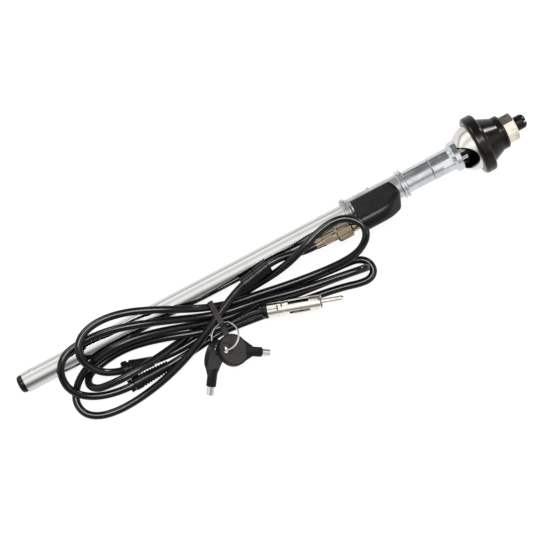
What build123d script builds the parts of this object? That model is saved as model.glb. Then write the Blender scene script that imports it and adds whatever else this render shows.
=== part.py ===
from build123d import *
import math
import os

# Telescopic car mast aerial with its lead, lying as it comes to rest. Lengths are in millimetres.
# The origin is on the mast axis where the gasket seats on the car's panel, and +X runs to the tip.

# Base tube and housing, as stations along the mast
tail_end = -317.9
tube_start = -313.8
tube_end = -69.7
tube_radius = 6.5
tube_bore = 5.9
dimple_radius = 1.4
dimple_station = -307.0
collar_start = -90.5
collar_end = -85.6
collar_radius = 8.25
housing_radius = 7.8
flange_start = -51.5
flange_end = -47.7
flange_radius = 9.2
sleeve_radius = 7.2
sleeve_end = -29.8
neck_radius = 7.45
cup_radius = 9.75

# Swivel head
swivel_station = 1.0
dome_radius = 14.7
dome_wall = 1.6
dome_rim = 1.5
seat_gap = 0.2
slot_half_width = 7.8
slot_end = -0.6
slot_roll = 36.0
swivel_limit = 12.0
gasket_height = 8.0
gasket_lower_round = 2.2
gasket_upper_round = 2.0
gasket_hole = 9.0
recess_radius = dome_radius + 0.2
seat_width = 1.9
gasket_radius = recess_radius + seat_width + gasket_lower_round
cone_base_radius = 14.7
cone_top_radius = 10.8
cone_top = 17.4
ring_radius = 10.85
ring_top = 21.7
nut_across_flats = 17.5
nut_top = 29.1
nut_roll = 12.0
stem_radius = 4.8
stem_bore = 3.62

# Telescopic mast: outer radius, bore and foot of each section
section_1_radius = 3.5
section_1_bore = 3.1
section_2_radius = 2.8
section_2_bore = 2.4
section_3_radius = 2.1
section_3_bore = 1.75
rod_radius = 1.4
mast_foot = -300.0
knob_start = 29.5
knob_end = 36.6
knob_radius = 4.65
barrel_radius = 3.3
key_hole_radius = 2.4
key_hole_depth = 4.5

# Lead and its connector
lead_offset = 12.0
lead_roll = 55.0
cover_start = collar_end + 1.3
cover_end = -54.2
pod_radius = 6.3
lead_radius = 2.4
lead_start = -115.3
coupling_start = -101.2
coupling_end = -90.8
coupling_radius = 5.35

# The mast lies on the gasket's rim and the tube's tail, so it slopes up to the tip by this angle.
rim_run = gasket_lower_round - tube_start
rim_rise = gasket_radius - gasket_lower_round - tube_radius
lie = math.atan2(rim_rise, rim_run) + math.asin(gasket_lower_round / math.hypot(rim_run, rim_rise))
floor = (
    gasket_lower_round * math.sin(lie)
    - (gasket_radius - gasket_lower_round) * math.cos(lie)
    - gasket_lower_round
)
print("lie", round(math.degrees(lie), 3), "floor", round(floor, 3))

mast = Vector(math.cos(lie), 0, math.sin(lie))
mast_up = Vector(-math.sin(lie), 0, math.cos(lie))
mast_side = Vector(0, -1, 0)
mast_axis = Axis((0, 0, 0), mast)


def roll_direction(degrees):
    """Direction square to the mast, turned from straight up towards -Y."""
    angle = math.radians(degrees)
    return mast_up * math.cos(angle) + mast_side * math.sin(angle)


def across(station, degrees=0.0):
    """Plane square to the mast at a station, its x turned by the roll."""
    return Plane(origin=mast * station, x_dir=roll_direction(degrees), z_dir=mast)


# Half section: x along the mast, y outward
half = Plane(origin=(0, 0, 0), x_dir=mast, z_dir=mast_side)
pod_direction = roll_direction(lead_roll)
slot_direction = roll_direction(slot_roll)
swivel_centre = mast * swivel_station
lead_origin = pod_direction * lead_offset
lead_axis = Axis(lead_origin, mast)
lead_half = Plane(origin=lead_origin, x_dir=mast, z_dir=mast.cross(pod_direction))


def sphere_station(radius_of_sphere, radius):
    """Station on the tail side where a sphere about the swivel has the given radius."""
    return swivel_station - math.sqrt(radius_of_sphere**2 - radius**2)


def sphere_station_up(radius_of_sphere, radius):
    """The same on the tip side."""
    return swivel_station + math.sqrt(radius_of_sphere**2 - radius**2)


# Base tube with a punched dimple on each side of the tail and a rolled groove
with BuildPart() as base_tube:
    with BuildSketch(across(tube_start)):
        Circle(tube_radius)
        Circle(tube_bore, mode=Mode.SUBTRACT)
    extrude(amount=tube_end - tube_start)
    for dimple_roll in (-47, 133):
        dimple_direction = roll_direction(dimple_roll)
        dimple_plane = Plane(
            origin=mast * dimple_station + dimple_direction * (tube_radius - 0.35),
            x_dir=mast,
            z_dir=dimple_direction,
        )
        with BuildSketch(dimple_plane):
            Circle(dimple_radius)
        extrude(amount=2, mode=Mode.SUBTRACT)
    with BuildSketch(half):
        with Locations((-101.2, tube_radius)):
            Rectangle(0.8, 0.5)
    revolve(axis=mast_axis, mode=Mode.SUBTRACT)
base_tube.part.label = "base_tube"

# Tail plug: a rounded button with a spigot in the tube
with BuildPart() as tail_plug:
    with BuildSketch(half):
        with BuildLine():
            Polyline(
                (tail_end, 0),
                (tail_end, 3.75),
                (tail_end + 0.6, 5.05),
                (tail_end + 2.0, 5.75),
                (tube_start, 5.75),
                (tube_start, 5.8),
                (tube_start + 9, 5.8),
                (tube_start + 10, 5.3),
                (tube_start + 10, 0),
                close=True,
            )
        make_face()
    revolve(axis=mast_axis)
tail_plug.part.label = "tail_plug"

# Plastic liner that guides the folded mast inside the tube
with BuildPart() as guide_liner:
    with BuildSketch(across(-302.5)):
        Circle(5.8)
        Circle(4.1, mode=Mode.SUBTRACT)
    extrude(amount=232)
guide_liner.part.label = "guide_liner"

# Collar with two rings and a small lug
with BuildPart() as retaining_collar:
    with BuildSketch(half):
        with BuildLine():
            Polyline(
                (collar_start, tube_radius + 0.05),
                (collar_start, collar_radius - 0.4),
                (collar_start + 0.4, collar_radius),
                (collar_start + 2.0, collar_radius),
                (collar_start + 2.3, collar_radius - 0.6),
                (collar_start + 2.9, collar_radius - 0.6),
                (collar_start + 3.2, collar_radius),
                (collar_end - 0.4, collar_radius),
                (collar_end, collar_radius - 0.4),
                (collar_end, tube_radius + 0.05),
                close=True,
            )
        make_face()
    revolve(axis=mast_axis)
    with BuildSketch(across(collar_start + 0.6, -75)):
        with Locations((collar_radius, 0)):
            Rectangle(2.0, 2.6)
    extrude(amount=2.6)
retaining_collar.part.label = "retaining_collar"

# Upper housing, stepped, with a small stop on its far side and a hole for the feed wire
with BuildPart() as upper_housing:
    with BuildSketch(half):
        with BuildLine():
            Polyline(
                (collar_end, tube_radius + 0.05),
                (collar_end, housing_radius - 0.3),
                (collar_end + 0.3, housing_radius),
                (-69.4, housing_radius),
                (-69.1, housing_radius - 0.2),
                (flange_start, housing_radius - 0.2),
                (flange_start, 5.0),
                (tube_end, 5.0),
                (tube_end, tube_radius + 0.05),
                close=True,
            )
        make_face()
    revolve(axis=mast_axis)
    with BuildSketch(across(-71.2, -83)):
        with Locations((housing_radius, 0)):
            Rectangle(1.2, 2.4)
    extrude(amount=1.8)
    with BuildSketch(Plane(origin=mast * -62, x_dir=mast, z_dir=pod_direction)):
        Circle(1.6)
    extrude(amount=12, mode=Mode.SUBTRACT)
upper_housing.part.label = "upper_housing"

# Brass ring that takes the signal from the mast
with BuildPart() as contact_ring:
    with BuildSketch(across(-67)):
        Circle(4.9)
        Circle(3.75, mode=Mode.SUBTRACT)
    extrude(amount=10)
contact_ring.part.label = "contact_ring"

# Feed wire from the lead's socket to the contact ring
with BuildPart() as feed_wire:
    with BuildSketch(Plane(origin=mast * -62 + pod_direction * 5.0, x_dir=mast, z_dir=pod_direction)):
        Circle(0.6)
    extrude(amount=lead_offset - 5.0 + 0.6)
    with BuildSketch(across(-73.9, lead_roll)):
        with Locations((lead_offset, 0)):
            Circle(0.6)
    extrude(amount=12.4)
feed_wire.part.label = "feed_wire"

# Moulded outlet: a saddle on the housing and a blunt pod over the lead's socket
saddle_radius = 9.3
nose_roll = 30.0
nose_flat = 4.0
nose_run = 6.5
tangent_cos = (saddle_radius - pod_radius) / lead_offset
tangent_sin = math.sqrt(1 - tangent_cos**2)
with BuildPart() as outlet_cover:
    with BuildSketch(across(cover_start, lead_roll)):
        Circle(saddle_radius)
        with Locations((lead_offset, 0)):
            Circle(pod_radius)
        with BuildLine():
            Polyline(
                (saddle_radius * tangent_cos, saddle_radius * tangent_sin),
                (lead_offset + pod_radius * tangent_cos, pod_radius * tangent_sin),
                (lead_offset + pod_radius * tangent_cos, -pod_radius * tangent_sin),
                (saddle_radius * tangent_cos, -saddle_radius * tangent_sin),
                close=True,
            )
        make_face()
        Circle(housing_radius + 0.12, mode=Mode.SUBTRACT)
        with Locations((-19.4, 0)):
            Rectangle(40, 40, mode=Mode.SUBTRACT)
    extrude(amount=cover_end - cover_start)
    nose_direction = roll_direction(nose_roll)
    with BuildSketch(Plane(origin=(0, 0, 0), x_dir=mast, z_dir=mast.cross(nose_direction))):
        with BuildLine():
            nose_front = Line((cover_end, -saddle_radius - 1), (cover_end, saddle_radius))
            nose_slope = Spline(
                nose_front @ 1,
                (cover_end - 3.6, saddle_radius + 2.2),
                (cover_end - 8.4, saddle_radius + 4.2),
                (cover_end - 11.2, saddle_radius + 8.5),
                tangents=((-0.4, 1), (-0.3, 1)),
            )
            Polyline(
                nose_slope @ 1,
                (cover_start - 1, saddle_radius + 12),
                (cover_start - 1, -saddle_radius - 1),
                nose_front @ 0,
            )
        make_face()
    extrude(amount=20, both=True, mode=Mode.INTERSECT)
    with BuildSketch(Plane(origin=(0, 0, 0), x_dir=mast, z_dir=pod_direction)):
        with BuildLine():
            plan_front = Line((cover_end, -nose_flat), (cover_end, nose_flat))
            plan_round = ThreePointArc(
                plan_front @ 1,
                (cover_end - 1.9, saddle_radius - 1.4),
                (cover_end - nose_run, saddle_radius + 0.6),
            )
            plan_back = Polyline(
                plan_round @ 1,
                (cover_start - 1, saddle_radius + 0.6),
                (cover_start - 1, -saddle_radius - 0.6),
                (cover_end - nose_run, -saddle_radius - 0.6),
            )
            ThreePointArc(plan_back @ 1, (cover_end - 1.9, 1.4 - saddle_radius), plan_front @ 0)
        make_face()
    extrude(amount=30, mode=Mode.INTERSECT)
    with BuildSketch(across(cover_start, lead_roll)):
        with Locations((lead_offset, 0)):
            Circle(4.1)
    extrude(amount=14, mode=Mode.SUBTRACT)
    with BuildSketch(across(cover_start + 13.5, lead_roll)):
        with Locations((lead_offset, 0)):
            Circle(1.4)
        with Locations((lead_offset / 2 + 1.5, 0)):
            Rectangle(lead_offset - 3, 2.8)
    extrude(amount=10.8, mode=Mode.SUBTRACT)
outlet_cover.part.label = "outlet_cover"

# Socket stub in the pod, with the insulated wire's hole
with BuildPart() as outlet_stub:
    with BuildSketch(lead_half):
        with BuildLine():
            Polyline(
                (-91.5, 0.9),
                (-91.5, 3.2),
                (-90.0, 3.6),
                (-74.0, 3.6),
                (-74.0, 0.9),
                close=True,
            )
        make_face()
    revolve(axis=lead_axis)
outlet_stub.part.label = "outlet_stub"

# Knurled coupling nut on the stub
with BuildPart() as coupling_nut:
    with BuildSketch(lead_half):
        with BuildLine():
            Polyline(
                (coupling_start, 3.3),
                (coupling_start, coupling_radius - 0.9),
                (coupling_start + 0.9, coupling_radius),
                (coupling_end - 0.6, coupling_radius),
                (coupling_end, coupling_radius - 0.6),
                (coupling_end, 3.75),
                (coupling_start + 3.0, 3.75),
                (coupling_start + 3.0, 3.3),
                close=True,
            )
        make_face()
    revolve(axis=lead_axis)
    with BuildSketch(across(coupling_start + 1.2, lead_roll)):
        with Locations((lead_offset, 0)):
            with PolarLocations(coupling_radius + 0.18, 24):
                Circle(0.48)
    extrude(amount=coupling_end - coupling_start - 2.0, mode=Mode.SUBTRACT)
coupling_nut.part.label = "coupling_nut"

# Ferrule crimped on the lead, with six flats
with BuildPart() as lead_ferrule:
    with BuildSketch(lead_half):
        with BuildLine():
            Polyline(
                (lead_start, 0),
                (lead_start, 2.75),
                (-111.0, 2.9),
                (-110.6, 3.2),
                (-98.1, 3.2),
                (-98.1, 3.6),
                (-96.4, 3.6),
                (-96.4, 0),
                close=True,
            )
        make_face()
    revolve(axis=lead_axis)
    with BuildSketch(across(-109.6, lead_roll)):
        with Locations((lead_offset, 0)):
            Circle(5)
            RegularPolygon(2.95, 6, major_radius=False, mode=Mode.SUBTRACT)
    extrude(amount=6.0, mode=Mode.SUBTRACT)
lead_ferrule.part.label = "lead_ferrule"

# Flanged sleeve below the neck
with BuildPart() as flange_sleeve:
    with BuildSketch(half):
        with BuildLine():
            Polyline(
                (flange_start, 6.1),
                (flange_start, flange_radius - 0.3),
                (flange_start + 0.3, flange_radius),
                (flange_start + 1.2, flange_radius),
                (flange_start + 1.4, flange_radius - 1.3),
                (flange_start + 2.1, flange_radius - 1.3),
                (flange_start + 2.3, flange_radius),
                (flange_end - 0.4, flange_radius),
                (flange_end, flange_radius - 0.4),
                (flange_end, sleeve_radius),
                (sleeve_end - 0.4, sleeve_radius),
                (sleeve_end, sleeve_radius - 0.4),
                (sleeve_end, 6.1),
                close=True,
            )
        make_face()
    revolve(axis=mast_axis)
flange_sleeve.part.label = "flange_sleeve"

# Plastic guide inside the sleeve
with BuildPart() as sleeve_guide:
    with BuildSketch(across(-51.0)):
        Circle(6.05)
        Circle(stem_bore, mode=Mode.SUBTRACT)
    extrude(amount=21.0)
sleeve_guide.part.label = "sleeve_guide"

# Neck with its cup: a hollow seat for the dome, a crown of teeth, a raised pad and a seam
cup_seat = dome_radius + seat_gap
cup_lip = sphere_station(cup_seat, cup_radius)
cup_inner = sphere_station(cup_seat, 7.2)
with BuildPart() as swivel_neck:
    with BuildSketch(half):
        with BuildLine():
            neck_line = Polyline(
                (cup_inner, 7.2),
                (cup_inner, 6.15),
                (sleeve_end, 6.15),
                (sleeve_end, neck_radius - 0.4),
                (sleeve_end + 0.4, neck_radius),
                (-16.8, neck_radius),
                (-15.4, neck_radius + 0.5),
                (-13.6, cup_radius),
                (cup_lip, cup_radius),
            )
            cup_mid = 8.5
            ThreePointArc(
                neck_line @ 1,
                (sphere_station(cup_seat, cup_mid), cup_mid),
                neck_line @ 0,
            )
        make_face()
    revolve(axis=mast_axis)
    with BuildSketch(across(cup_inner - 1.0, slot_roll)):
        Circle(7.1)
        Circle(6.4, mode=Mode.SUBTRACT)
        with PolarLocations(6.65, 9, start_angle=20):
            Rectangle(3, 2.6, mode=Mode.SUBTRACT)
    extrude(amount=7.2)
    pad_direction = roll_direction(20)
    with BuildSketch(Plane(origin=mast * -19.2 + pad_direction * 6.8, x_dir=mast, z_dir=pad_direction)):
        RectangleRounded(7.4, 4.6, 0.5)
    extrude(amount=1.0)
    with BuildSketch(Plane(origin=mast * -14.6 + pad_direction * 6.5, x_dir=mast, z_dir=pad_direction)):
        RegularPolygon(1.4, 3, rotation=180)
    extrude(amount=4, mode=Mode.SUBTRACT)
    seam_direction = roll_direction(40)
    with BuildSketch(Plane(origin=mast * -21.4 + seam_direction * 6.9, x_dir=mast, z_dir=seam_direction)):
        Rectangle(12.5, 0.6)
    extrude(amount=3, mode=Mode.SUBTRACT)
swivel_neck.part.label = "swivel_neck"

# Black stem that insulates the mast from the neck to the nut
with BuildPart() as neck_stem:
    with BuildSketch(half):
        with BuildLine():
            Polyline(
                (-29.0, stem_bore),
                (-29.0, 6.1),
                (-13.5, 6.1),
                (-12.5, stem_radius),
                (28.9, stem_radius),
                (28.9, stem_bore),
                close=True,
            )
        make_face()
    revolve(axis=mast_axis)
neck_stem.part.label = "neck_stem"

# Slotted dome that turns in the cup
dome_inner = dome_radius - dome_wall
with BuildPart() as swivel_dome:
    with BuildSketch(half):
        with BuildLine():
            outer_low = (sphere_station(dome_radius, slot_half_width), slot_half_width)
            outer_mid = (sphere_station(dome_radius, 12.0), 12.0)
            outer_high = (dome_rim, math.sqrt(dome_radius**2 - (dome_rim - swivel_station) ** 2))
            inner_low = (sphere_station(dome_inner, slot_half_width), slot_half_width)
            inner_mid = (sphere_station(dome_inner, 11.0), 11.0)
            inner_high = (dome_rim, math.sqrt(dome_inner**2 - (dome_rim - swivel_station) ** 2))
            ThreePointArc(outer_low, outer_mid, outer_high)
            Line(outer_high, inner_high)
            ThreePointArc(inner_high, inner_mid, inner_low)
            Line(inner_low, outer_low)
        make_face()
    revolve(axis=mast_axis)
    with BuildSketch(Plane(origin=(0, 0, 0), x_dir=mast, z_dir=slot_direction)):
        with Locations((slot_end - slot_half_width, 0)):
            Circle(slot_half_width)
        with Locations((slot_end - slot_half_width - 6, 0)):
            Rectangle(12, 2 * slot_half_width)
    extrude(amount=20, mode=Mode.SUBTRACT)
swivel_dome.part.label = "swivel_dome"

# Gasket with a flat seat for the panel and a recess for the dome's rim
with BuildPart() as panel_gasket:
    with BuildSketch(half):
        with BuildLine():
            lower = gasket_lower_round
            upper = gasket_upper_round
            seat_edge = Line((0, recess_radius), (0, gasket_radius - lower))
            lower_round = JernArc(seat_edge @ 1, (0, 1), lower, -90)
            rim_line = Line(lower_round @ 1, (gasket_height - upper, gasket_radius))
            upper_round = JernArc(rim_line @ 1, (1, 0), upper, -90)
            Polyline(
                upper_round @ 1,
                (gasket_height, gasket_hole),
                (dome_rim, gasket_hole),
                (dome_rim, recess_radius),
                (0, recess_radius),
            )
        make_face()
    revolve(axis=mast_axis)
panel_gasket.part.label = "panel_gasket"

# Trim cone, its top a part of a sphere about the swivel, with a hole that clears the tilted stem
cone_sphere = math.hypot(cone_top - swivel_station, cone_top_radius)
with BuildPart() as trim_cone:
    with BuildSketch(half):
        with BuildLine():
            cone_side = Polyline(
                (gasket_height, 0),
                (gasket_height, cone_base_radius),
                (gasket_height + 0.8, cone_base_radius),
                (cone_top, cone_top_radius),
            )
            cone_crown = ThreePointArc(
                cone_side @ 1,
                (sphere_station_up(cone_sphere, 6.0), 6.0),
                (sphere_station_up(cone_sphere, 0.0), 0),
            )
            Line(cone_crown @ 1, cone_side @ 0)
        make_face()
    revolve(axis=mast_axis)
    for tilt in (0.0, swivel_limit / 2, swivel_limit):
        turned = math.radians(tilt)
        tilted = mast * math.cos(turned) - slot_direction * math.sin(turned)
        with BuildSketch(Plane(origin=swivel_centre, x_dir=mast.cross(slot_direction), z_dir=tilted)):
            Circle(stem_radius + 0.4)
        extrude(amount=30, mode=Mode.SUBTRACT)
    fan_plane = Plane(origin=swivel_centre, x_dir=mast, z_dir=slot_direction.cross(mast))
    fan_reach = 30.0
    with BuildSketch(fan_plane):
        with BuildLine():
            fan_end = (fan_reach, -fan_reach * math.tan(math.radians(swivel_limit)))
            Polyline((0, 0), (fan_reach, 0), fan_end, close=True)
        make_face()
    extrude(amount=stem_radius + 0.4, both=True, mode=Mode.SUBTRACT)
trim_cone.part.label = "trim_cone"

# Ring over the cone, hollow below to match it
ring_hollow = cone_sphere + seat_gap
ring_inner = stem_radius + 0.05
with BuildPart() as ring_seal:
    with BuildSketch(half):
        with BuildLine():
            ring_line = Polyline(
                (sphere_station_up(ring_hollow, ring_inner), ring_inner),
                (ring_top, ring_inner),
                (ring_top, ring_radius - 0.9),
                (ring_top - 0.9, ring_radius),
                (ring_top - 1.8, ring_radius),
                (ring_top - 2.1, ring_radius - 0.25),
                (ring_top - 2.4, ring_radius),
                (sphere_station_up(ring_hollow, ring_radius), ring_radius),
            )
            ThreePointArc(
                ring_line @ 1,
                (sphere_station_up(ring_hollow, 8.0), 8.0),
                ring_line @ 0,
            )
        make_face()
    revolve(axis=mast_axis)
ring_seal.part.label = "ring_seal"

# Eight-sided nut on the stem, corners turned off
with BuildPart() as top_nut:
    with BuildSketch(across(ring_top, nut_roll)):
        RegularPolygon(nut_across_flats / 2, 8, major_radius=False, rotation=22.5)
        Circle(ring_inner, mode=Mode.SUBTRACT)
    extrude(amount=nut_top - ring_top)
    with BuildSketch(half):
        with BuildLine():
            Polyline(
                (ring_top - 1, 0),
                (ring_top - 1, 12),
                (nut_top - 0.7, 9.6),
                (nut_top, 8.5),
                (nut_top, 0),
                close=True,
            )
        make_face()
    revolve(axis=mast_axis, mode=Mode.INTERSECT)
top_nut.part.label = "top_nut"


def foot_profile(outer, bore, length):
    """A brass foot as a ring at the bottom of a mast section."""
    with BuildPart() as foot:
        with BuildSketch(across(mast_foot - length)):
            Circle(outer)
            Circle(bore, mode=Mode.SUBTRACT)
        extrude(amount=length)
    return foot


def section_profile(outer, bore, lip, top):
    """A mast section: a tube rolled in at the top by a lip of its own bore."""
    with BuildPart() as section:
        with BuildSketch(half):
            with BuildLine():
                Polyline(
                    (mast_foot, outer),
                    (top - 0.4, outer),
                    (top, outer - 0.2),
                    (top, lip),
                    (top - 3, lip),
                    (top - 3.3, bore),
                    (mast_foot, bore),
                    close=True,
                )
            make_face()
        revolve(axis=mast_axis)
    return section


mast_section_1 = section_profile(section_1_radius, section_1_bore, section_2_radius + 0.06, 28.9)
mast_section_1.part.label = "mast_section_1"
mast_section_2 = section_profile(section_2_radius, section_2_bore, section_3_radius + 0.06, 29.0)
mast_section_2.part.label = "mast_section_2"
mast_section_3 = section_profile(section_3_radius, section_3_bore, rod_radius + 0.06, 29.1)
mast_section_3.part.label = "mast_section_3"
section_1_foot = foot_profile(4.0, 0.8, 2.0)
section_1_foot.part.label = "section_1_foot"

# Feet that slide inside the section outside them
with BuildPart() as section_2_foot:
    with BuildSketch(across(mast_foot + 0.3)):
        Circle(section_1_bore - 0.06)
        Circle(section_2_radius + 0.02, mode=Mode.SUBTRACT)
    extrude(amount=6)
section_2_foot.part.label = "section_2_foot"
with BuildPart() as section_3_foot:
    with BuildSketch(across(mast_foot + 0.6)):
        Circle(section_2_bore - 0.06)
        Circle(section_3_radius + 0.02, mode=Mode.SUBTRACT)
    extrude(amount=6)
section_3_foot.part.label = "section_3_foot"
with BuildPart() as rod_foot:
    with BuildSketch(across(mast_foot + 0.9)):
        Circle(section_3_bore - 0.06)
        Circle(rod_radius + 0.02, mode=Mode.SUBTRACT)
    extrude(amount=6)
rod_foot.part.label = "rod_foot"

# Innermost rod, fixed in the knob
with BuildPart() as tip_rod:
    with BuildSketch(across(mast_foot + 0.9)):
        Circle(rod_radius)
    extrude(amount=knob_start + 1.5 - mast_foot - 0.9)
tip_rod.part.label = "tip_rod"

# Tip knob, domed and fluted, hollow for the lock barrel
with BuildPart() as tip_knob:
    with BuildSketch(half):
        with BuildLine():
            knob_line = Polyline(
                (knob_start + 1.5, 0),
                (knob_start + 1.5, rod_radius + 0.02),
                (knob_start, rod_radius + 0.02),
                (knob_start, knob_radius - 0.4),
                (knob_start + 0.4, knob_radius),
                (knob_end - 2.2, knob_radius),
            )
            knob_dome = ThreePointArc(
                knob_line @ 1,
                (knob_end - 0.7, knob_radius - 0.55),
                (knob_end, barrel_radius + 0.15),
            )
            Polyline(
                knob_dome @ 1,
                (knob_end - 5.3, barrel_radius + 0.15),
                (knob_end - 5.3, 0),
                knob_line @ 0,
            )
        make_face()
    revolve(axis=mast_axis)
    with BuildSketch(across(knob_end - 1.7, 25)):
        with PolarLocations(knob_radius, 5):
            Rectangle(2.6, 1.5)
    extrude(amount=4, mode=Mode.SUBTRACT)
tip_knob.part.label = "tip_knob"

# Lock barrel with a round key hole and its notch
with BuildPart() as lock_barrel:
    with BuildSketch(across(knob_end - 5.1)):
        Circle(barrel_radius)
    extrude(amount=5.3)
    with BuildSketch(across(knob_end + 0.2 - key_hole_depth, 40)):
        Circle(key_hole_radius)
    extrude(amount=key_hole_depth, mode=Mode.SUBTRACT)
lock_barrel.part.label = "lock_barrel"

# Lead route: hand-chosen points (x, y, height above the floor), read loop by loop
lead_points = [
    # from the ferrule over the barrel to the tie
    (-115.55, -9.83, 21.2), (-122.2, -9.83, 20.95), (-131.0, -7.8, 21.6), (-140.5, -6.25, 22.08),
    (-151.51, -7.11, 21.84), (-162.5, -9.0, 20.6), (-173.3, -12.5, 18.8), (-182.0, -16.3, 17.41), (-189.5, -20.11, 16.35),
    # outer loop by the tail, first turn
    (-200.3, -25.6, 14.4), (-211.2, -30.4, 11.6), (-222.39, -34.55, 8.43), (-234.39, -37.96, 5.64),
    (-247.2, -40.4, 3.6), (-260.4, -41.9, 2.7), (-272.9, -41.8, 2.4), (-283.3, -39.3, 2.5),
    (-290.1, -34.0, 2.5), (-291.8, -25.7, 2.5), (-288.5, -18.7, 2.6),
    (-282.4, -13.1, 5.0), (-275.1, -9.9, 9.0), (-266.2, -8.1, 12.8), (-255.7, -7.2, 15.2),
    (-243.8, -7.8, 15.7), (-230.9, -10.1, 14.4), (-217.5, -13.5, 12.2), (-204.3, -17.5, 10.0),
    (-192.2, -21.2, 8.29),
    # long outer hairpin towards the head
    (-181.33, -23.01, 7.75), (-171.24, -23.04, 7.25), (-161.1, -22.61, 6.39), (-150.2, -22.81, 4.29),
    (-137.6, -23.5, 3.1), (-123.7, -24.7, 2.6), (-110.8, -25.9, 2.6), (-102.6, -26.3, 2.7),
    (-94.7, -27.3, 2.9), (-89.42, -31.39, 2.94), (-88.73, -38.1, 2.95), (-93.2, -41.9, 2.9),
    (-100.4, -41.5, 2.8), (-109.3, -39.0, 2.6), (-121.1, -36.8, 2.5), (-134.9, -34.8, 2.5),
    (-149.4, -32.9, 2.5), (-163.8, -31.1, 2.5), (-177.2, -29.5, 2.9),
    # second turn by the tail, with the ribbed boot
    (-189.6, -28.2, 3.4), (-201.8, -29.3, 3.3), (-212.5, -30.5, 3.4), (-223.01, -31.26, 3.57),
    (-236.01, -32.04, 3.86), (-250.5, -32.6, 4.3), (-265.0, -31.9, 4.8), (-277.3, -28.9, 5.6),
    (-286.6, -23.5, 7.1), (-291.7, -16.2, 9.8), (-291.9, -8.2, 13.8), (-288.8, -1.9, 17.6),
    (-282.9, 2.7, 17.8), (-275.1, 4.4, 16.72), (-265.1, 4.6, 17.36), (-253.5, 3.2, 18.5),
    (-241.0, -0.12, 19.15), (-227.9, -4.52, 18.27), (-214.8, -9.2, 15.6), (-202.3, -13.8, 12.9),
    (-191.1, -17.59, 11.57),
    # upright hairpin towards the head
    (-180.89, -20.2, 11.9), (-170.62, -21.6, 11.96), (-158.9, -23.24, 11.15), (-146.0, -26.51, 10.7),
    (-132.6, -29.2, 11.0), (-120.5, -31.3, 12.2), (-110.5, -33.0, 13.8), (-102.8, -34.3, 14.6),
    (-97.3, -35.1, 14.3), (-93.2, -35.3, 10.9), (-92.93, -34.71, 6.0), (-96.01, -33.8, 2.91),
    (-101.9, -33.0, 2.5), (-109.1, -32.0, 2.5), (-119.3, -30.8, 2.5), (-132.2, -29.5, 2.5),
    (-146.5, -28.0, 2.5), (-161.1, -26.4, 2.5), (-175.0, -24.7, 2.7),
    # third turn by the tail, with the grommet
    (-187.9, -23.1, 3.35), (-200.4, -24.1, 3.1), (-210.8, -25.53, 2.58), (-221.0, -25.95, 2.75),
    (-231.2, -25.4, 3.5), (-242.3, -24.2, 4.7), (-252.8, -22.56, 5.96), (-262.4, -20.17, 8.27),
    (-269.9, -16.1, 11.8), (-275.8, -7.7, 18.0), (-275.6, -0.3, 21.84), (-271.1, 6.39, 22.29),
    (-262.2, 10.3, 21.2), (-250.8, 10.7, 20.5), (-238.3, 8.0, 20.4), (-225.8, 3.0, 20.4),
    (-214.0, -2.75, 19.78), (-203.6, -7.64, 17.17), (-194.1, -11.3, 13.5), (-184.19, -14.36, 10.78),
    # hook over the connector
    (-172.48, -17.09, 9.54), (-158.8, -18.94, 9.08), (-143.9, -21.49, 9.0), (-129.0, -23.5, 9.5),
    (-115.2, -25.1, 11.4), (-103.7, -26.0, 15.2), (-94.8, -25.6, 21.0), (-88.8, -22.9, 28.3),
    (-85.6, -19.0, 31.0), (-84.7, -14.0, 32.0), (-87.5, -8.7, 32.1), (-93.2, -3.8, 31.0),
    (-101.6, -2.5, 30.5), (-111.8, -4.3, 30.0), (-123.01, -8.16, 28.57), (-134.76, -11.82, 24.86),
    (-146.6, -13.11, 17.8), (-158.85, -12.96, 10.2), (-171.34, -13.55, 4.65),
    # last turn by the tail and out to the plug
    (-183.8, -15.9, 3.35), (-195.7, -18.0, 3.35), (-207.1, -20.05, 3.75), (-218.61, -22.2, 6.01),
    (-230.1, -24.2, 9.4), (-241.4, -25.7, 12.1), (-251.9, -26.63, 13.43), (-261.1, -26.64, 13.04),
    (-268.9, -25.9, 11.3), (-275.0, -24.9, 9.8), (-278.9, -21.5, 7.4), (-279.2, -17.4, 4.3),
    (-275.9, -13.5, 2.6), (-270.3, -12.0, 2.6), (-263.1, -10.6, 2.8), (-254.6, -9.9, 3.7),
    (-244.7, -10.6, 5.4), (-233.5, -13.1, 7.6), (-221.0, -17.04, 9.76), (-207.6, -21.74, 10.08),
    (-194.2, -25.6, 9.4), (-185.5, -27.0, 10.0), (-176.5, -27.6, 11.3), (-168.4, -28.2, 12.9),
    (-163.8, -29.8, 13.85),
]


def lifted(point):
    """A route point with its height turned into z."""
    return Vector(point[0], point[1], floor + point[2])


lead_route = [lifted(point) for point in lead_points]
lead_radii = []
for before, corner, after in zip(lead_route[:-2], lead_route[1:-1], lead_route[2:]):
    turn = (corner - before).get_angle(after - corner)
    shorter = min((corner - before).length, (after - corner).length)
    lead_radii.append(0.45 * shorter / math.tan(math.radians(max(turn, 1.0)) / 2))
print("lead bend radii", [round(radius, 1) for radius in lead_radii])

with BuildPart() as coax_lead:
    with BuildLine() as lead_line:
        FilletPolyline(*lead_route, radius=lead_radii)
    with BuildSketch(Plane(origin=lead_line.line @ 0, z_dir=lead_line.line % 0)):
        Circle(lead_radius)
    sweep()
coax_lead.part.label = "coax_lead"
lead_length = lead_line.wires()[0].length
print("lead length", round(lead_length, 1), "lowest", round(coax_lead.part.bounding_box().min.Z - floor, 2))
tube_volume = math.pi * lead_radius**2 * lead_length
print("lead volume ratio", round(coax_lead.part.volume / tube_volume, 4))


def halfway(first, second):
    """The middle of a run, which is on the lead's own line."""
    return (lead_route[first] + lead_route[second]) * 0.5


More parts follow.
